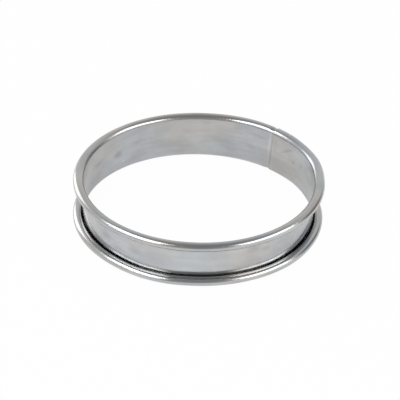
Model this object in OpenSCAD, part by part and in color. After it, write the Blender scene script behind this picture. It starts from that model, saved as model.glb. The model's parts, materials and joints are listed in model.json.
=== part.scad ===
// Tart ring: a hoop of sheet steel, open at the top and at the bottom.
// It starts as a flat strip. The strip is bent round, its two ends are lapped and welded, and then both
// of its long edges are rolled outwards into open curls, so the whole ring is one piece of sheet.
// Millimetres. The Z axis is the ring's own axis, and Z = 0 is the surface that the ring stands on.

/* [Ring] */
// Inner diameter, across the faces of the straight wall
inner_d = 100; // [60:1:300]
// Height, from the foot of the lower curl to the crown of the upper one
height = 21; // [15:0.5:60]
// Thickness of the sheet
sheet_t = 0.5; // [0.3:0.05:0.8]

/* [Rolled edges] */
// Outer width of each curl
curl_w = 4.7; // [4:0.1:7]
// Outer height of each curl, which is pressed flatter than it is wide
curl_h = 3.7; // [3:0.1:4]
// Opening that stays between the free edge of a curl and the wall
slot_gap = 0.8; // [0.6:0.1:2]

/* [Lapped seam] */
// Direction of the seam line on the inside of the wall, anticlockwise from the X axis
seam_angle = 51.5; // [0:0.5:360]
// Length of wall on which the two ends lie over each other
lap_len = 7; // [3:0.5:12]
// How far the end that lies on top stands proud of the wall's face
lap_rise = 0.2; // [0:0.05:0.3]
// Length in which the end that lies on top comes back down to the wall's face
run_out_len = 9; // [4:0.5:16]
// Length in which the end that lies beneath is pressed back, to make room for the other
joggle_len = 3; // [1.5:0.5:6]

/* [Hidden] */
$fn = 96;

inner_r = inner_d / 2;
curl_r = curl_h / 2;

// The sheet's thickness at the lap, where its two ends are one on the other
lap_t = 2 * sheet_t;
// The ring stands on its lap, whose foot is this much lower than the rest of the lower curl
foot_z = lap_rise;

// Number of small bends in which the sheet moves from one level to another
bends = 4;
// Angle by which each bend reaches into the stretches on both sides, so that all of it is one solid
grip = 0.05;

// The angle at the ring's axis of a length along the inside of the wall
function turn(length) = length / inner_r * 180 / PI;

// The section is drawn at a level, its rise: how far the sheet's face stands proud of the plain ring's
// face, which is the inside of the wall and the outside of the curl.

// A point at a distance and an angle from the centre of a bend
function polar(distance, angle) = distance * [cos(angle), sin(angle)];

// A bend of the sheet, anticlockwise from one direction to another, round less than a full turn
module bend_section(outer_r, thickness, from, to) {
    gap = from + 360 - to;
    difference() {
        circle(outer_r);
        circle(outer_r - thickness);
        polygon([
            [0, 0],
            for (share = [0 : 0.25 : 1]) polar(2 * outer_r, to + gap * share)
        ]);
    }
}

// Section of the lower curl: a bend out of the wall, a flat underside, a bend round the outside, and a
// flat top, which ends in the free edge so that the slot stays open beside the wall
module curl_section(rise, thickness) {
    outer_r = curl_r + rise;
    inner_x = inner_r + curl_r;
    outer_x = inner_r + curl_w - curl_r;
    edge_x = inner_r + slot_gap + thickness - rise;
    centre_z = foot_z + curl_r;
    translate([inner_x, centre_z])
        bend_section(outer_r, thickness, 180, 270);
    translate([inner_x, centre_z - outer_r])
        square([outer_x - inner_x, thickness]);
    translate([outer_x, centre_z])
        bend_section(outer_r, thickness, -90, 90);
    translate([edge_x, centre_z + outer_r - thickness])
        square([outer_x - edge_x, thickness]);
}

// Section of the whole sheet: the straight wall between its two curls, and the curls
module sheet_section(rise, thickness) {
    translate([inner_r - rise, foot_z + curl_r])
        square([thickness, height - curl_h]);
    curl_section(rise, thickness);
    translate([0, 2 * foot_z + height])
        mirror([0, 1])
            curl_section(rise, thickness);
}

// A stretch of the hoop with the same section all along
module sheet_arc(from, sweep, rise = 0, thickness = sheet_t) {
    rotate_extrude(start = from, angle = sweep)
        sheet_section(rise, thickness);
}

// A stretch in which the sheet bends from one level to another in small equal steps
module level_change(from, sweep, rise_from, rise_to) {
    for (i = [0 : bends - 1]) {
        share = (i + 1) / (bends + 1);
        sheet_arc(
            from + sweep * i / bends - grip,
            sweep / bends + 2 * grip,
            rise_from + (rise_to - rise_from) * share
        );
    }
}

module tart_ring() {
    lap_from = seam_angle - turn(lap_len);
    run_out_from = lap_from - turn(run_out_len);
    joggle_to = seam_angle + turn(joggle_len);

    color([0.74, 0.75, 0.76])
        union() {
            // The plain hoop, all the way round from the joggle to the run-out
            sheet_arc(joggle_to, 360 + run_out_from - joggle_to);
            // The end that lies on top comes up from the wall's face to the lap
            level_change(run_out_from, turn(run_out_len), 0, lap_rise);
            // Both ends, welded together
            sheet_arc(lap_from, turn(lap_len), lap_rise, lap_t);
            // The end that lies beneath goes back under the other, whose cut edge is the seam line
            level_change(seam_angle, turn(joggle_len), lap_rise - sheet_t, 0);
        }
}

tart_ring();
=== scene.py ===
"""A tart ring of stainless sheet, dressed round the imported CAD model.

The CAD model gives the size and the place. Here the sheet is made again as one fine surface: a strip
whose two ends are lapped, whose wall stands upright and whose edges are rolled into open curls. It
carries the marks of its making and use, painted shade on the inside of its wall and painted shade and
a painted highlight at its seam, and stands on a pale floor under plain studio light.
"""

import json
import math

import bpy
import numpy as np
from bpy.props import FloatProperty, FloatVectorProperty, PointerProperty
from mathutils import Matrix, Vector


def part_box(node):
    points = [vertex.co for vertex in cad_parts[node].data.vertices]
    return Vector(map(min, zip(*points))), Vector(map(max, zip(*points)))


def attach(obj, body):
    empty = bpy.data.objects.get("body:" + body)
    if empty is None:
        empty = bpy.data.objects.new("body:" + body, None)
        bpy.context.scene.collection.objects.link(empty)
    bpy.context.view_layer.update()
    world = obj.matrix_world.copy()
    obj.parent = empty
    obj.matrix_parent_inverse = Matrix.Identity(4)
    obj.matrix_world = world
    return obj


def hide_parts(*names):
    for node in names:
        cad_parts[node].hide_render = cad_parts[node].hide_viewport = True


bl_info = {
    "name": "Tart ring",
    "version": (1, 0, 0),
    "blender": (4, 5, 0),
    "location": "3D View > Sidebar > Tart ring",
    "description": "Rolls a lapped steel strip into a tart ring, and sets up its floor, lamps and camera",
    "category": "Add Mesh",
}

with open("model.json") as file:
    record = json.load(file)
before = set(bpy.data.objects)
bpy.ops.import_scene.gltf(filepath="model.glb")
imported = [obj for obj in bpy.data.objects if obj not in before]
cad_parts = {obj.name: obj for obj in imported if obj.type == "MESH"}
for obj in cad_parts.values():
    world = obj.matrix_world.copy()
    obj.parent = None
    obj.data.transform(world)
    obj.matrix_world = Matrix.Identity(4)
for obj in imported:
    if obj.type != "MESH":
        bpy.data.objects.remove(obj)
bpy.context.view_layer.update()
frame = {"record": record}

MM = 0.001
NODE, BODY, SLOT = "tart_ring", "root", "stainless_steel"

STRIP_MAP = "strip"  # metres along the strip and across it, for the patterns
BAKE_MAP = "OFBake"  # the same strip in two rows that fill a square, for a baked picture
CURL_MASK = "curled"  # 0 on the wall and 1 on the curls
BACK_MASK = "back_face"  # 0 on the face that shows on the inside of the wall, 1 on the other

# What the frame says of the ring, from which the sizes start
BORE = next(mount for mount in frame["record"]["mounts"] if mount["name"] == "inner_wall")
BORE_RADIUS = BORE["dims"]["r_mm"] * MM
BOX_LOW, BOX_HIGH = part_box(NODE)
LAP_RISE = 0.2 * MM

# How closely the surface is drawn
HAIR = 0.01 * MM  # width of a step's side, and how far the sheet stays within the CAD model's flats
JOGGLE_STEP, RUN_OUT_STEP, LAP_STEP, PLAIN_STEP = 0.15 * MM, 0.45 * MM, 0.35 * MM, 0.6 * MM
EDGE_STEPS = 4
MAP_MARGIN = 0.004  # round each row of the map for a baked picture
FACE_CURL_STEPS, BACK_CURL_STEPS = 34, 20
FACE_WALL_STEPS, BACK_WALL_STEPS = 8, 6

# The hoop isn't perfectly round: waves round it as (count, turn in radians per metre across, share)
WAVES = (
    (2, 0.0, 0.30),
    (3, 9.0, 0.22),
    (7, -30.0, 0.16),
    (11, 55.0, 0.13),
    (19, -80.0, 0.11),
    (31, 120.0, 0.08),
)

# Stretches where the hoop is out of round, in millimetres past the seam line on the lap's side:
# where each starts, is full, goes and ends, and how far its upper and its lower edge stand out
OUT_OF_ROUND = (
    (-34, -8, 27, 44, 0.7, 0),
    (0, 30, 60, 85, 0, -0.4),
    (125, 136, 145, 160, 0, 0.4),
)

# How far from the seam line its lean is kept whole, and the length in which it fades after that
LEAN_KEPT, LEAN_FADES = 20 * MM, 40 * MM

# The share of a curl's turn over which the wall's finish becomes the curl's
CURL_BLEND = 0.12

# Marks on the sheet, in millimetres from the seam line and up from the middle of the inner wall, round
# the upper curl and down the outer wall: along, across, half length, half width, turn in degrees,
# softness, darkness
MARKS = (
    # Smudges on the inner wall
    (74.3, -1.2, 2.1, 1.5, 0, 0.7, 0.20),
    (89.0, 0.8, 2.6, 1.3, 8, 0.9, 0.10),
    (71.3, -5.8, 0.45, 0.35, 0, 0.6, -0.25),
    (-9.6, 4.4, 3.2, 0.55, 32, 0.9, 0.16),
    (-14.4, 0.8, 0.9, 0.8, 0, 0.8, 0.14),
    (8.0, 5.0, 3.5, 0.7, -4, 0.9, 0.08),
    (9.0, -1.5, 3.0, 0.5, 3, 0.9, 0.06),
    # The seam's dark line, part grease in the crevice and part painted shade of the cut edge, and the
    # lighter stripe beside it, a painted reflection on the joggle's slope
    (-0.3, -2.0, 0.35, 8.0, 0, 0.5, 0.16),
    (0.15, -4.0, 0.25, 5.0, 0, 0.5, 0.3),
    (1.3, 3.0, 0.5, 6.0, 0, 0.7, -0.15),
    (-2.3, 3.5, 0.7, 2.6, 0, 0.8, 0.05),
    # Painted shade at the inner wall's two ends, where their reflections are darker
    (104.0, -1.0, 15.0, 9.0, 0, 0.8, 0.16),
    (-38.0, -1.0, 15.0, 9.0, 0, 0.8, 0.16),
    # Smudges on the outer wall
    (154.5, 39.6, 3.0, 1.2, 0, 0.9, 0.15),
    (163.1, 36.9, 2.6, 1.6, 10, 0.9, 0.13),
    (146.9, 37.3, 2.5, 1.5, 0, 0.9, 0.13),
    (216.0, 34.0, 3.2, 1.2, -10, 0.9, 0.17),
    (222.0, 35.5, 2.0, 1.0, 0, 0.8, 0.15),
    # Fainter ones on the inner wall
    (64.0, 1.5, 3.0, 1.0, 5, 0.9, 0.08),
    (-20.5, 2.2, 1.6, 1.0, 20, 0.9, 0.10),
)

# The patterns' sizes, and how strongly each one shows in the colour, the roughness and the relief
LINE_LENGTH, LINE_WIDTH, PATCH = 9 * MM, 0.22 * MM, 9 * MM
HAZE_DARKENS, STREAKS_DARKEN, GREASE_DARKENS = 0.22, 0.05, 0.05
HAZE_ROUGHENS, STREAKS_ROUGHEN, MARKS_ROUGHEN = 0.1, 0.04, 0.25
DENT_DEPTH = 0.006 * MM

# A mark's edge: lumps of noise in a half size, and how far it wanders in and out, in half sizes
EDGE_LUMPS, EDGE_WANDER = 1.6, 0.4

# The photograph's camera, which looks along +Y at the middle of the ring
TARGET = Vector((0, 0, (BOX_LOW.z + BOX_HIGH.z) / 2))
SENSOR, FOCAL_LENGTH, FRAME_PIXELS = 36.0, 291.5, 400
CAMERA_ELEVATION, CAMERA_DISTANCE, CAMERA_ROLL = 32.87, 1.41, math.radians(1.5)
CAMERA_SHIFT = (1.34 / FRAME_PIXELS, -3.1 / FRAME_PIXELS)
CAMERA_NEAR, CAMERA_FAR = 0.05, 50

# The studio. Azimuths are clockwise from straight behind the ring, in degrees
FLOOR_HALF = 3.0
SOFT_BOXES = (  # name, azimuth, elevation, distance, width, height, share of the lamps' level
    ("right_soft_box", 107, 48, 0.9, 0.72, 0.30, 1.0),
    ("right_low_box", 112, 34, 0.9, 0.80, 0.08, 0.9),
    ("left_soft_box", -106, 57, 0.9, 0.74, 0.26, 1.5),
    ("left_low_box", -118, 37, 0.9, 0.80, 0.10, 1.5),
    ("back_left_panel", -45, 14, 0.9, 0.38, 0.66, 0.52),
)
ROOM_BY_HEIGHT = (0.55, 0.97, 0.71, 0.34)  # sine of the elevation from and to, brightness from and to
ROOM_PATCHES = (  # azimuth, elevation, inner and outer radius, brightness
    (118, 15, 20, 42, 1.0),
    (60, 17, 11, 25, 0.25),
    (180, 30, 14, 40, 0.45),
    (180, 65, 14, 45, 0.28),
)


class RingSizes(bpy.types.PropertyGroup):
    """The sizes of the ring, which start as the CAD model has them"""

    inner_diameter: FloatProperty(
        name="Inner diameter",
        description="Across the faces of the straight wall",
        default=2 * BORE_RADIUS,
        min=0.02,
        precision=4,
        unit="LENGTH",
    )
    height: FloatProperty(
        name="Height",
        description="From the foot of the lower curl to the crown of the upper one",
        default=round(BOX_HIGH.z - BOX_LOW.z - 2 * LAP_RISE, 4),
        min=0.01,
        precision=4,
        unit="LENGTH",
    )
    sheet_thickness: FloatProperty(
        name="Sheet thickness",
        description="Thickness of the strip",
        default=0.5 * MM,
        min=0.3 * MM,
        max=0.8 * MM,
        precision=5,
        unit="LENGTH",
    )
    curl_width: FloatProperty(
        name="Curl width",
        description="Outer width of each rolled edge",
        default=round(BOX_HIGH.x - BORE_RADIUS, 4),
        min=4 * MM,
        precision=4,
        unit="LENGTH",
    )
    curl_height: FloatProperty(
        name="Curl height",
        description="Outer height of each rolled edge, which is pressed flatter than it is wide",
        default=round(BOX_HIGH.z - BOX_LOW.z - 2 * LAP_RISE - BORE["dims"]["length_mm"] * MM, 4),
        min=3 * MM,
        precision=4,
        unit="LENGTH",
    )
    slot_gap: FloatProperty(
        name="Slot",
        description="Opening between the free edge of a curl and the wall",
        default=0.8 * MM,
        min=0.6 * MM,
        precision=4,
        unit="LENGTH",
    )
    seam_angle: FloatProperty(
        name="Seam angle",
        description="Direction of the middle of the seam line, anticlockwise from the X axis",
        default=math.radians(51.2),
        subtype="ANGLE",
        unit="ROTATION",
    )
    seam_lean: FloatProperty(
        name="Seam lean",
        description="How far the seam line leans from upright, clockwise as it goes up",
        default=math.radians(3.8),
        min=-0.2,
        max=0.2,
        subtype="ANGLE",
        unit="ROTATION",
    )
    lap_length: FloatProperty(
        name="Lap",
        description="Length on which the two ends of the strip lie over each other",
        default=7 * MM,
        min=3 * MM,
        precision=4,
        unit="LENGTH",
    )
    lap_rise: FloatProperty(
        name="Lap rise",
        description="How far the end that lies on top stands proud of the wall's face",
        default=LAP_RISE,
        min=0,
        max=0.3 * MM,
        precision=5,
        unit="LENGTH",
    )
    run_out_length: FloatProperty(
        name="Run-out",
        description="Length in which the end on top comes back down to the wall's face",
        default=9 * MM,
        min=4 * MM,
        precision=4,
        unit="LENGTH",
    )
    joggle_length: FloatProperty(
        name="Joggle",
        description="Length in which the end beneath is pressed back to make room for the other",
        default=3 * MM,
        min=1.5 * MM,
        precision=4,
        unit="LENGTH",
    )
    edge_radius: FloatProperty(
        name="Edge radius",
        description="Rounding of the strip's cut edges",
        default=0.12 * MM,
        min=0.02 * MM,
        max=0.14 * MM,
        precision=5,
        unit="LENGTH",
    )
    waviness: FloatProperty(
        name="Waviness",
        description="How far the rolled sheet waves, always inwards from its outline",
        default=0.06 * MM,
        min=0,
        max=0.2 * MM,
        precision=5,
        unit="LENGTH",
    )
    out_of_round: FloatProperty(
        name="Out of round",
        description="How far the hoop is out of round, where 1 is as the photograph shows it",
        default=1.0,
        min=0,
        max=1,
        subtype="FACTOR",
    )


class SteelLook(bpy.types.PropertyGroup):
    """The finish of the stainless sheet, and the painted shade on the inside of its wall"""

    colour: FloatVectorProperty(
        name="Colour",
        description="Colour of the clean sheet",
        default=(0.570, 0.589, 0.614),
        min=0,
        max=1,
        subtype="COLOR",
    )
    warm_colour: FloatVectorProperty(
        name="Warm colour",
        description="Colour to which the sheet drifts in soft patches",
        default=(0.602, 0.592, 0.576),
        min=0,
        max=1,
        subtype="COLOR",
    )
    # Colour of baked grease, and also the colour that the painted shade on the inner wall and at the seam
    # darkens towards
    grease_and_shade_colour: FloatVectorProperty(
        name="Baked grease",
        description="Colour of what stays in the curls and in the seam",
        default=(0.08, 0.075, 0.07),
        min=0,
        max=1,
        subtype="COLOR",
    )
    wall_roughness: FloatProperty(
        name="Wall roughness",
        description="Roughness of the rolled sheet on the wall",
        default=0.1,
        min=0,
        max=1,
        subtype="FACTOR",
    )
    curl_roughness: FloatProperty(
        name="Curl roughness",
        description="Roughness of the curls, which the rolling tool and use have polished",
        default=0.13,
        min=0,
        max=1,
        subtype="FACTOR",
    )
    grain_depth: FloatProperty(
        name="Grain depth",
        description="Depth of the fine lines that run along the strip",
        default=0.0005 * MM,
        min=0,
        precision=8,
        unit="LENGTH",
    )
    # Painted shade that darkens the inside of the wall towards the grease colour, standing in for its
    # dimmer reflections
    inner_wall_painted_shade: FloatProperty(
        name="Film",
        description="Strength of the thin baked film that dulls the inside of the wall",
        default=0.12,
        min=0,
        max=1,
        subtype="FACTOR",
    )
    haze: FloatProperty(
        name="Haze",
        description="Strength of the cloudy patches that handling and washing leave",
        default=0.68,
        min=0,
        max=1,
        subtype="FACTOR",
    )


class StageLook(bpy.types.PropertyGroup):
    """The floor, the lamps and the room"""

    floor_colour: FloatVectorProperty(
        name="Floor",
        description="Colour of the floor",
        default=(0.85, 0.85, 0.85),
        min=0,
        max=1,
        subtype="COLOR",
    )
    floor_white: FloatProperty(
        name="Floor white",
        description="Share of plain white in the floor as the camera sees it; shadows keep the rest",
        default=0.97,
        min=0,
        max=1,
        subtype="FACTOR",
    )
    mirrored_white: FloatProperty(
        name="Mirrored white",
        description="Share of plain white in the floor as it shows in the metal",
        default=0.6,
        min=0,
        max=1,
        subtype="FACTOR",
    )
    lamp_level: FloatProperty(
        name="Lamps",
        description="Brightness of the soft boxes, where 1 is white",
        default=2.6,
        min=0,
    )
    room_level: FloatProperty(
        name="Room",
        description="Brightness of the room round the ring",
        default=1.0,
        min=0,
    )


class Strip:
    """The strip that the ring is rolled from, in metres. A place along it is counted anticlockwise
    from the seam line, and a place across it up from the middle of the wall. The level of a face is
    how far it stands proud of the plain wall's inner face, or of the plain curl's outer one."""

    def __init__(self, sizes):
        self.inner_r = sizes.inner_diameter / 2
        self.curl_w, self.curl_h = sizes.curl_width / 2, sizes.curl_height / 2
        self.thick = sizes.sheet_thickness
        self.slot = sizes.slot_gap
        self.rise = sizes.lap_rise
        self.edge = sizes.edge_radius
        self.joggle = sizes.joggle_length
        self.run_out = sizes.run_out_length
        self.lap = sizes.lap_length
        self.length = 2 * math.pi * self.inner_r
        self.lap_from = self.length - self.lap
        self.run_from = self.lap_from - self.run_out
        self.low = sizes.lap_rise + self.curl_h
        self.wall = sizes.height - sizes.curl_height
        self.seam_angle = sizes.seam_angle
        self.lean = math.tan(sizes.seam_lean)
        self.waviness = sizes.waviness
        self.out_of_round = sizes.out_of_round


def smooth(share):
    """An even S from 0 to 1: three times the square of the share, less twice its cube."""
    share = np.clip(share, 0, 1)
    return share * share * (3 - 2 * share)


def corner(distance, radius):
    """Depth of a rounded edge below its face: a quarter circle, from where the rounding starts."""
    share = np.clip(distance / radius, 0, 1)
    return radius * (1 - np.sqrt(1 - share * share))


def spaced(start, end, step):
    """Even places from the start up to, and without, the end, at most a step apart."""
    return np.linspace(start, end, math.ceil((end - start) / step), endpoint=False)


def places_along(strip):
    """Places of the sections along the strip, close together where the sheet changes level. At each
    cut edge they follow the rounding: its radius times the sine or one less the cosine of even
    angles."""
    turn = np.linspace(0, math.pi / 2, EDGE_STEPS + 1)
    return np.concatenate(
        [
            spaced(0, strip.joggle, JOGGLE_STEP),
            spaced(strip.joggle, strip.run_from, PLAIN_STEP),
            spaced(strip.run_from, strip.lap_from - HAIR, RUN_OUT_STEP),
            [strip.lap_from - HAIR],
            strip.lap_from + strip.edge * (1 - np.cos(turn)),
            spaced(strip.lap_from + strip.edge, strip.length - strip.edge, LAP_STEP)[1:],
            strip.length - strip.edge + strip.edge * np.sin(turn[:-1]),
            [strip.length - HAIR],
        ]
    )


def levels(strip, along):
    """Levels of the sheet's two faces along the strip, and its thickness. The face starts pressed
    back by the joggle, comes level in a smooth S, stays level round the hoop and rises in another S
    to the lap, where both ends lie together until the cut edge of the one on top."""
    pressed = (strip.rise - strip.thick) * (1 - smooth(along / strip.joggle))
    raised = strip.rise * smooth((along - strip.run_from) / strip.run_out)
    face = pressed + raised
    lapped = along >= strip.lap_from
    thick = np.where(lapped, 2 * strip.thick, strip.thick)
    hidden_edge = np.where(lapped, corner(strip.lap_from + strip.edge - along, strip.edge), 0)
    seam_edge = corner(along - (strip.length - strip.edge), strip.edge)
    return face, thick, face - seam_edge, face - thick + hidden_edge


def round_the_section():
    """One trip round the section of the sheet, as arrays with one value for each point.
    side: -1 in the lower curl, 0 on the wall, 1 in the upper curl; round: share of the curl's turn,
    from the wall; up: share of the wall's height; through: share of the thickness, from the face to
    the back; inset and short: how far the rounded free edge stands in from both faces and back from
    the end, in edge radii."""
    turn = np.linspace(0, math.pi / 2, EDGE_STEPS + 1)

    def stretch(side, round_, up, through, inset, short):
        return np.stack(np.broadcast_arrays(side, round_, up, through, inset, short)).astype(float)

    def free_edge(side, up):
        into = stretch(side, 1, up, 0, 1 - np.cos(turn), 1 - np.sin(turn))[:, 1:]
        out = stretch(side, 1, up, 1, np.cos(turn) - 1, 1 - np.sin(turn))[:, ::-1]
        return np.concatenate([into, out], axis=1)

    face_curl = np.linspace(0, 1, FACE_CURL_STEPS + 1)[1:]
    back_curl = np.linspace(0, 1, BACK_CURL_STEPS + 1)[1:]
    upper_edge, lower_edge = free_edge(1, 1), free_edge(-1, 0)
    return np.concatenate(
        [
            stretch(-1, face_curl[::-1], 0, 0, 0, 1),
            stretch(0, 0, np.linspace(0, 1, FACE_WALL_STEPS + 1), 0, 0, 1),
            stretch(1, face_curl, 1, 0, 0, 1),
            upper_edge,
            stretch(1, back_curl[-2::-1], 1, 1, 0, 1),
            stretch(0, 0, np.linspace(1, 0, BACK_WALL_STEPS + 1), 1, 0, 1),
            stretch(-1, back_curl, 0, 1, 0, 1),
            lower_edge[:, -2::-1],
        ],
        axis=1,
    )


def section_points(strip, trip, face, thick, face_level, back_level):
    """Distance from the axis and height of every point, for each section. Out of the wall the sheet
    goes round the curl's centre on an ellipse: half the width times the cosine of an angle, and half
    the height times its sine. The level is added square to the ellipse, along the half height times
    the cosine and the half width times the sine, brought to a length of 1. The angle ends where the
    free edge leaves the slot open."""
    side, round_, up, through, inset, short = trip[:, :, None]
    level = face_level + (back_level - face_level) * through - strip.edge * inset
    wide, high = strip.curl_w, strip.curl_h
    ends_at = np.arccos((strip.slot + thick - face - wide) / (wide + face))
    angle = round_ * (math.pi + ends_at - strip.edge * short / (wide + level))
    cosine, sine = np.cos(angle), np.sin(angle)
    square = level / np.hypot(high * cosine, wide * sine)
    distance = strip.inner_r + wide - (wide + square * high) * cosine
    height = strip.low + up * strip.wall + side * (high + square * wide) * sine
    return distance, height


def strays(strip, place, height):
    """How far the sheet stands out from a round hoop at a place along it. In each stretch of the list
    an edge strays by its amount, times a smooth S where the stretch starts and another where it
    ends, times the share of the height from the other edge."""
    raised = np.clip((height - strip.low) / strip.wall, 0, 1)
    total = 0
    for start, full, goes, end, upper, lower in OUT_OF_ROUND:
        past = (-place / MM - start) % (strip.length / MM)
        share = smooth(past / (full - start)) * (1 - smooth((past - goes + start) / (end - goes)))
        total = total + share * (upper * raised + lower * (1 - raised))
    return strip.out_of_round * total * MM


def rolled_sheet(strip):
    """The whole sheet as a grid of points: a trip round the section by places along the strip. Each
    section stands at the seam's angle plus its place over the radius, and the seam's lean shifts it
    by its place across, less and less away from the seam. Small waves draw the sheet in, and a hair
    more keeps it within the flats of the CAD model."""
    along = places_along(strip)
    trip = round_the_section()
    face, thick, face_level, back_level = levels(strip, along)
    side, round_, up = trip[:3, :, None]
    plain_turn = math.pi + math.acos((strip.slot + strip.thick - strip.curl_w) / strip.curl_w)
    across = (up - 0.5) * strip.wall + side * (strip.curl_w + strip.curl_h) / 2 * round_ * plain_turn
    from_seam = np.minimum(along, strip.length - along)
    leaning = 1 - smooth((from_seam - LEAN_KEPT) / LEAN_FADES)
    place = along - strip.lean * across * leaning
    wave = sum(
        share * np.cos(2 * math.pi * count * place / strip.length + count + turn * across)
        for count, turn, share in WAVES
    )
    drawn_in = HAIR + strip.waviness * (1 + wave) / 2
    face_level, back_level = face_level - drawn_in, back_level - drawn_in
    distance, height = section_points(strip, trip, face, thick, face_level, back_level)
    distance = distance + strays(strip, place, height)
    angle = strip.seam_angle + place / strip.inner_r
    points = np.stack([distance * np.cos(angle), distance * np.sin(angle), height], axis=-1)
    return points, along, trip


def developed(strip, trip):
    """Distance travelled round the plain section at each point, from the middle of the wall's inner
    face, and the length of the whole trip."""
    face, thick = np.zeros(1), np.full(1, strip.thick)
    distance, height = section_points(strip, trip, face, thick, face, -thick)
    steps = np.hypot(*(np.roll(a[:, 0], -1) - a[:, 0] for a in (distance, height)))
    travelled = np.concatenate([[0], np.cumsum(steps)])
    middle = np.flatnonzero((trip[0] == 0) & (trip[2] == 0.5) & (trip[3] == 0))[0]
    return travelled - travelled[middle], travelled[-1]


def new_map(mesh, name, across, up):
    """Adds a UV map, from two arrays with a value for each corner of each face."""
    mesh.uv_layers.new(name=name).uv.foreach_set("vector", np.stack([across, up], axis=-1).ravel())


def sheet_mesh(strip):
    """The rolled sheet as a closed mesh of four-sided faces, with its maps and masks."""
    points, along, trip = rolled_sheet(strip)
    rows, columns = points.shape[:2]
    here, on = np.arange(rows)[:, None], np.arange(columns)[None, :]
    above, beyond = (here + 1) % rows, (on + 1) % columns
    corners = ((here, on), (above, on), (above, beyond), (here, beyond))
    faces = np.stack([row * columns + column for row, column in corners], axis=-1)
    mesh = bpy.data.meshes.new("rolled_sheet")
    mesh.vertices.add(rows * columns)
    mesh.vertices.foreach_set("co", points.ravel())
    mesh.loops.add(faces.size)
    mesh.loops.foreach_set("vertex_index", faces.ravel())
    mesh.polygons.add(rows * columns)
    mesh.polygons.foreach_set("loop_start", np.arange(0, faces.size, 4))
    mesh.polygons.foreach_set("use_smooth", np.ones(rows * columns, dtype=bool))
    mesh.update(calc_edges=True)

    side, round_, _, through = trip[:4, :, None]
    masks = {CURL_MASK: np.abs(side) * smooth(round_ / CURL_BLEND), BACK_MASK: through}
    for name, mask in masks.items():
        values = mask + np.zeros(columns)
        mesh.attributes.new(name, "FLOAT", "POINT").data.foreach_set("value", values.ravel())

    # Each corner's place along the strip and round the section
    travelled, trip_length = developed(strip, trip)
    ends = np.append(along[1:], strip.length)
    place = np.stack([along, along, ends, ends], axis=-1)[None] + np.zeros((rows, 1, 1))
    lower, upper = travelled[:-1], travelled[1:]
    turned = np.stack([lower, upper, upper, lower], axis=-1)[:, None] + np.zeros((1, columns, 1))

    # On the back, places start at the strip's hidden end
    on_back = (through > 0.5) & (np.roll(through, -1, axis=0) > 0.5)
    before_seam = (on_back & (along >= strip.lap_from))[..., None]
    new_map(mesh, STRIP_MAP, place - strip.length * before_seam, turned)

    # For a baked picture the strip lies in two rows, cut on the far side of the hoop
    cut = along[columns // 2]
    in_second = (on >= columns // 2)[..., None]
    share_along = np.where(in_second, (place - cut) / (strip.length - cut), place / cut)
    share_round = (turned - travelled[0]) / trip_length
    inside = 1 - 2 * MAP_MARGIN
    up = (in_second + MAP_MARGIN + inside * share_round) / 2
    new_map(mesh, BAKE_MAP, MAP_MARGIN + inside * share_along, up)
    if mesh.validate():
        raise RuntimeError("the rolled sheet has faces that had to be mended")
    return mesh


class Wiring:
    """Adds nodes to a node tree and joins them. A value is another node's output or a plain one."""

    def __init__(self, tree):
        self.tree = tree

    def feed(self, socket, value):
        """Joins an input to another node's output, or sets the input's own value."""
        if isinstance(value, bpy.types.NodeSocket):
            self.tree.links.new(value, socket)
        else:
            socket.default_value = value

    def node(self, kind, feeds=None, **settings):
        """Adds a node with its settings, and feeds its inputs by name or number."""
        node = self.tree.nodes.new(kind)
        for name, value in settings.items():
            setattr(node, name, value)
        for socket, value in (feeds or {}).items():
            self.feed(node.inputs[socket], value)
        return node

    def math(self, operation, *values):
        """The result of a Math node."""
        return self.node("ShaderNodeMath", dict(enumerate(values)), operation=operation).outputs[0]

    def vector(self, operation, *values):
        """The result of a Vector Math node."""
        node = self.node("ShaderNodeVectorMath", dict(enumerate(values)), operation=operation)
        return node.outputs["Value" if operation in ("LENGTH", "DOT_PRODUCT") else "Vector"]

    def ramp(self, value, start, end, low=0.0, high=1.0):
        """Goes from low to high in a smooth S while the value goes from start to end."""
        feeds = {"Value": value, "From Min": start, "From Max": end, "To Min": low, "To Max": high}
        return self.node("ShaderNodeMapRange", feeds, interpolation_type="SMOOTHSTEP").outputs["Result"]

    def noise(self, place, detail, roughness=0.5):
        """Noise with lumps of about one unit of its place."""
        feeds = {"Vector": place, "Scale": 1.0, "Detail": detail, "Roughness": roughness}
        return self.node("ShaderNodeTexNoise", feeds).outputs["Fac"]

    def mix(self, share, first, second):
        """A colour between two others."""
        return self.node("ShaderNodeMix", {0: share, 6: first, 7: second}, data_type="RGBA").outputs[2]

    def placed(self, group, feeds):
        """Places a node group with values of its own, and gives its outputs."""
        node = self.node("ShaderNodeGroup", node_tree=group)
        for label, value in feeds.items():
            self.feed(node.inputs[label], value)
        return node.outputs


def solid(colour):
    """A colour with its fourth value, as a node's socket holds it."""
    return (*colour, 1.0)


def towards(azimuth, elevation):
    """The direction of something seen from the ring: azimuth in degrees clockwise from straight
    behind it, and elevation above the horizon."""
    a, e = math.radians(azimuth), math.radians(elevation)
    return Vector((math.sin(a) * math.cos(e), math.cos(a) * math.cos(e), math.sin(e)))


def new_group(name, takes, gives):
    """An empty node group with named inputs and outputs: its wiring, what it takes, what it gives."""
    tree = bpy.data.node_groups.new(name, "ShaderNodeTree")
    for direction, sockets in (("INPUT", takes), ("OUTPUT", gives)):
        for label, kind in sockets.items():
            tree.interface.new_socket(name=label, in_out=direction, socket_type="NodeSocket" + kind)
    wiring = Wiring(tree)
    return wiring, wiring.node("NodeGroupInput").outputs, wiring.node("NodeGroupOutput").inputs


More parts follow.
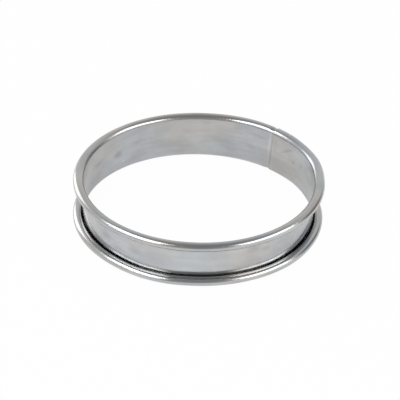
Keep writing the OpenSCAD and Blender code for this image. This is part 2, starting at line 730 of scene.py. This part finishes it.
def rolling_grain():
    """Node group: the fine lines that the rolling mill leaves along the strip, as a height and as
    wider streaks."""
    w, takes, gives = new_group(
        "Rolling grain",
        {"Strip": "Vector", "Line length": "Float", "Line width": "Float"},
        {"Height": "Float", "Streaks": "Float"},
    )
    sizes = {0: takes["Line length"], 1: takes["Line width"], 2: 1.0}
    size = w.node("ShaderNodeCombineXYZ", sizes).outputs[0]
    lines = w.vector("DIVIDE", takes["Strip"], size)
    w.feed(gives["Height"], w.noise(lines, 3.0, 0.6))
    wide = w.vector("MULTIPLY", lines, (0.5, 0.12, 1.0))
    w.feed(gives["Streaks"], w.ramp(w.noise(wide, 2.0), 0.3, 0.7))
    return w.tree


def handling_haze():
    """Node group: the cloudy patches that hands, water and the oven leave, in two sizes."""
    w, takes, gives = new_group(
        "Handling haze", {"Strip": "Vector", "Patch": "Float"}, {"Haze": "Float", "Drift": "Float"}
    )
    size = w.node("ShaderNodeCombineXYZ", {0: takes["Patch"], 1: takes["Patch"], 2: 1.0}).outputs[0]
    patches = w.vector("DIVIDE", takes["Strip"], size)
    flat = w.vector("MULTIPLY", patches, (0.6, 1.0, 1.0))
    w.feed(gives["Haze"], w.ramp(w.noise(flat, 4.0, 0.55), 0.3, 0.72))
    far = w.vector("ADD", w.vector("MULTIPLY", patches, (0.3, 0.55, 1.0)), (7.3, 2.9, 0.0))
    w.feed(gives["Drift"], w.ramp(w.noise(far, 1.0), 0.35, 0.65))
    return w.tree


def touch_mark():
    """Node group: one soft oval mark on the strip, with an uneven edge."""
    w, takes, gives = new_group(
        "Touch mark",
        {
            "Strip": "Vector",
            "Place": "Vector",
            "Half size": "Vector",
            "Turn": "Float",
            "Softness": "Float",
        },
        {"Mark": "Float"},
    )
    from_middle = w.vector("SUBTRACT", takes["Strip"], takes["Place"])
    turned = w.node(
        "ShaderNodeVectorRotate",
        {"Vector": from_middle, "Angle": takes["Turn"]},
        rotation_type="Z_AXIS",
    ).outputs[0]
    share = w.vector("DIVIDE", turned, takes["Half size"])
    lumps = w.noise(w.vector("MULTIPLY", share, (EDGE_LUMPS, EDGE_LUMPS, 1.0)), 2.0)
    uneven = w.math("MULTIPLY_ADD", lumps, 2 * EDGE_WANDER, -EDGE_WANDER)
    reach = w.math("ADD", w.vector("LENGTH", share), uneven)
    start = w.math("SUBTRACT", 1.0, takes["Softness"])
    end = w.math("ADD", 1.0, takes["Softness"])
    w.feed(gives["Mark"], w.ramp(reach, start, end, 1.0, 0.0))
    return w.tree


def stainless_sheet(look, strip):
    """The material of the whole ring: a metal whose colour, roughness and fine relief follow the
    strip round its curls. The wall is satin, with painted shade darkening its inside, and the curls
    are brighter and hold baked grease on their backs."""
    material = bpy.data.materials.new("stainless_sheet")
    material.use_nodes = True
    w = Wiring(material.node_tree)
    steel = next(node for node in w.tree.nodes if node.type == "BSDF_PRINCIPLED").inputs
    steel["Metallic"].default_value = 1.0

    at = w.node("ShaderNodeUVMap", uv_map=STRIP_MAP).outputs["UV"]
    curled = w.node("ShaderNodeAttribute", attribute_name=CURL_MASK).outputs["Fac"]
    back = w.node("ShaderNodeAttribute", attribute_name=BACK_MASK).outputs["Fac"]
    line_size = {"Line length": LINE_LENGTH, "Line width": LINE_WIDTH}
    grain = w.placed(rolling_grain(), {"Strip": at, **line_size})
    haze = w.placed(handling_haze(), {"Strip": at, "Patch": PATCH})

    # Painted shade darkens the inside of the wall. Marks darken the sheet, or brighten it where their
    # darkness is below 0; some are smudges, some painted shade, and one a painted highlight by the seam
    mark = touch_mark()
    inside_wall = w.math("SUBTRACT", 1.0, w.math("MAXIMUM", back, curled))
    darkness = w.math("MULTIPLY", inside_wall, look.inner_wall_painted_shade)
    for along, across, half_length, half_width, turn, softness, depth in MARKS:
        spot = w.placed(
            mark,
            {
                "Strip": at,
                "Place": ((along * MM) % strip.length, across * MM, 0),
                "Half size": (half_length * MM, half_width * MM, 1),
                "Turn": math.radians(turn),
                "Softness": softness,
            },
        )
        darkness = w.math("MULTIPLY_ADD", spot["Mark"], depth, darkness)

    cloudy = w.math("MULTIPLY", haze["Haze"], look.haze)
    colour = w.mix(haze["Drift"], solid(look.colour), solid(look.warm_colour))
    # Streaks, haze, smudges and the painted shade all darken the colour towards the grease colour
    dull = w.math("MULTIPLY_ADD", grain["Streaks"], STREAKS_DARKEN, darkness)
    dull = w.math("MULTIPLY_ADD", cloudy, HAZE_DARKENS, dull)
    colour = w.mix(dull, colour, solid(look.grease_and_shade_colour))
    in_curl = w.math("MULTIPLY", w.math("MULTIPLY", back, curled), GREASE_DARKENS)
    w.feed(steel["Base Color"], w.mix(in_curl, colour, solid(look.grease_and_shade_colour)))

    roughness = w.ramp(curled, 0.0, 1.0, look.wall_roughness, look.curl_roughness)
    roughness = w.math("MULTIPLY_ADD", cloudy, HAZE_ROUGHENS, roughness)
    roughness = w.math("MULTIPLY_ADD", grain["Streaks"], STREAKS_ROUGHEN, roughness)
    w.feed(steel["Roughness"], w.math("MULTIPLY_ADD", darkness, MARKS_ROUGHEN, roughness))

    dents = w.node("ShaderNodeBump", {"Strength": 1.0, "Distance": DENT_DEPTH, "Height": haze["Haze"]})
    lines = w.node(
        "ShaderNodeBump",
        {
            "Strength": 1.0,
            "Distance": look.grain_depth,
            "Height": grain["Height"],
            "Normal": dents.outputs["Normal"],
        },
    )
    w.feed(steel["Normal"], lines.outputs["Normal"])
    return material


def pale_floor(look):
    """The floor's material: pale and matt, and nearly plain white to the camera and in reflections,
    where the object's shadow stays as a soft grey."""
    material = bpy.data.materials.new("pale_floor")
    material.use_nodes = True
    w = Wiring(material.node_tree)
    w.tree.nodes.clear()
    path = w.node("ShaderNodeLightPath").outputs
    seen = w.math("MAXIMUM", path["Is Camera Ray"], path["Is Transmission Ray"])
    seen = w.math("MULTIPLY", seen, look.floor_white)
    mirrored = w.math("MULTIPLY", path["Is Glossy Ray"], look.mirrored_white)
    matt = w.node("ShaderNodeBsdfDiffuse", {"Color": solid(look.floor_colour)}).outputs[0]
    white = w.node("ShaderNodeEmission", {"Color": (1, 1, 1, 1), "Strength": 1.0}).outputs[0]
    share = w.math("MAXIMUM", seen, mirrored)
    mixed = w.node("ShaderNodeMixShader", {0: share, 1: matt, 2: white}).outputs[0]
    w.node("ShaderNodeOutputMaterial", {"Surface": mixed})
    return material


def studio_room(look):
    """The room round the ring, as a world: pale near the horizon, darker overhead, with a bright wall
    at the right, one dark corner, and darkest on the camera's side. The camera sees plain white."""
    world = bpy.data.worlds.new("studio_room")
    world.use_nodes = True
    w = Wiring(world.node_tree)
    w.tree.nodes.clear()
    way = w.node("ShaderNodeTexCoord").outputs["Generated"]
    axes = w.node("ShaderNodeSeparateXYZ", {0: way}).outputs
    level = w.ramp(axes["Z"], *ROOM_BY_HEIGHT)
    for azimuth, elevation, inner, outer, value in ROOM_PATCHES:
        facing = w.vector("DOT_PRODUCT", way, towards(azimuth, elevation))
        share = w.ramp(facing, math.cos(math.radians(outer)), math.cos(math.radians(inner)))
        level = w.math("ADD", level, w.math("MULTIPLY", share, w.math("SUBTRACT", value, level)))
    strength = w.math("MULTIPLY", level, look.room_level)
    room = w.node("ShaderNodeBackground", {"Color": (1, 1, 1, 1), "Strength": strength})
    white = w.node("ShaderNodeBackground", {"Color": (1, 1, 1, 1), "Strength": 1.0})
    camera = w.node("ShaderNodeLightPath").outputs["Is Camera Ray"]
    mixed = w.node("ShaderNodeMixShader", {0: camera, 1: room.outputs[0], 2: white.outputs[0]})
    w.node("ShaderNodeOutputWorld", {"Surface": mixed.outputs[0]})
    return world


def soft_box(name, azimuth, elevation, distance, width, height, level):
    """A square lamp that faces the ring. Its power gives the brightness asked for: pi times its area
    times the level."""
    lamp = bpy.data.lights.new(name, "AREA")
    lamp.shape = "RECTANGLE"
    lamp.size, lamp.size_y = width, height
    lamp.energy = math.pi * width * height * level
    box = bpy.data.objects.new(name, lamp)
    way = towards(azimuth, elevation)
    turn = way.to_track_quat("Z", "Y").to_matrix().to_4x4()
    box.matrix_world = Matrix.Translation(TARGET + way * distance) @ turn
    box.visible_camera = False
    bpy.context.collection.objects.link(box)


def photograph_camera():
    """A camera at the photograph's place, aimed at the middle of the ring, with its slight roll. The
    shift puts the ring where it stands in the frame."""
    lens = bpy.data.cameras.new("photograph_camera")
    lens.sensor_width = SENSOR
    lens.lens = FOCAL_LENGTH
    lens.shift_x, lens.shift_y = CAMERA_SHIFT
    lens.clip_start, lens.clip_end = CAMERA_NEAR, CAMERA_FAR
    camera = bpy.data.objects.new("photograph_camera", lens)
    back = towards(180, CAMERA_ELEVATION)
    turn = back.to_track_quat("Z", "Y").to_matrix().to_4x4()
    roll = Matrix.Rotation(CAMERA_ROLL, 4, "Z")
    camera.matrix_world = Matrix.Translation(TARGET + back * CAMERA_DISTANCE) @ turn @ roll
    bpy.context.collection.objects.link(camera)
    bpy.context.scene.camera = camera


class TARTRING_OT_roll(bpy.types.Operator):
    """Rolls the lapped steel strip into the ring, and gives it its finish"""

    bl_idname = "tart_ring.roll"
    bl_label = "Roll the ring"

    def execute(self, context):
        strip = Strip(context.scene.tart_ring_sizes)
        mesh = sheet_mesh(strip)
        mesh.materials.append(stainless_sheet(context.scene.tart_ring_steel, strip))
        ring = bpy.data.objects.new("rolled_ring", mesh)
        context.collection.objects.link(ring)
        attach(ring, BODY)
        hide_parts(NODE)
        return {"FINISHED"}


class TARTRING_OT_stage(bpy.types.Operator):
    """Sets up the pale floor, the room, the soft boxes and the camera"""

    bl_idname = "tart_ring.stage"
    bl_label = "Set up the studio"

    def execute(self, context):
        look = context.scene.tart_ring_stage
        mesh = bpy.data.meshes.new("floor")
        corners = FLOOR_HALF * np.array([[-1, -1, 0], [1, -1, 0], [1, 1, 0], [-1, 1, 0]], dtype=float)
        mesh.from_pydata(corners.tolist(), [], [(0, 1, 2, 3)])
        mesh.materials.append(pale_floor(look))
        floor = bpy.data.objects.new("floor", mesh)
        context.collection.objects.link(floor)
        context.scene.world = studio_room(look)
        for box in SOFT_BOXES:
            soft_box(*box[:-1], look.lamp_level * box[-1])
        photograph_camera()
        context.scene.view_settings.view_transform = "Standard"
        return {"FINISHED"}


class TARTRING_PT_panel(bpy.types.Panel):
    """Lists the steps and sizes of the tart ring"""

    bl_label = "Tart ring"
    bl_idname = "TARTRING_PT_panel"
    bl_space_type = "VIEW_3D"
    bl_region_type = "UI"
    bl_category = "Tart ring"

    def draw(self, context):
        scene = context.scene
        for operator, group in (
            (TARTRING_OT_roll, scene.tart_ring_sizes),
            (None, scene.tart_ring_steel),
            (TARTRING_OT_stage, scene.tart_ring_stage),
        ):
            box = self.layout.box()
            for name in group.__annotations__:
                box.prop(group, name)
            if operator:
                box.operator(operator.bl_idname)


CLASSES = (RingSizes, SteelLook, StageLook, TARTRING_OT_roll, TARTRING_OT_stage, TARTRING_PT_panel)
GROUPS = {"tart_ring_sizes": RingSizes, "tart_ring_steel": SteelLook, "tart_ring_stage": StageLook}


def register():
    """Adds the add-on's classes and the scene's groups of sizes."""
    for cls in CLASSES:
        bpy.utils.register_class(cls)
    for name, group in GROUPS.items():
        setattr(bpy.types.Scene, name, PointerProperty(type=group))


def unregister():
    """Takes them away again, in the other order."""
    for name in GROUPS:
        delattr(bpy.types.Scene, name)
    for cls in reversed(CLASSES):
        bpy.utils.unregister_class(cls)


def main():
    """Makes the ring and its studio."""
    register()
    bpy.ops.tart_ring.roll()
    bpy.ops.tart_ring.stage()


if __name__ == "__main__":
    main()
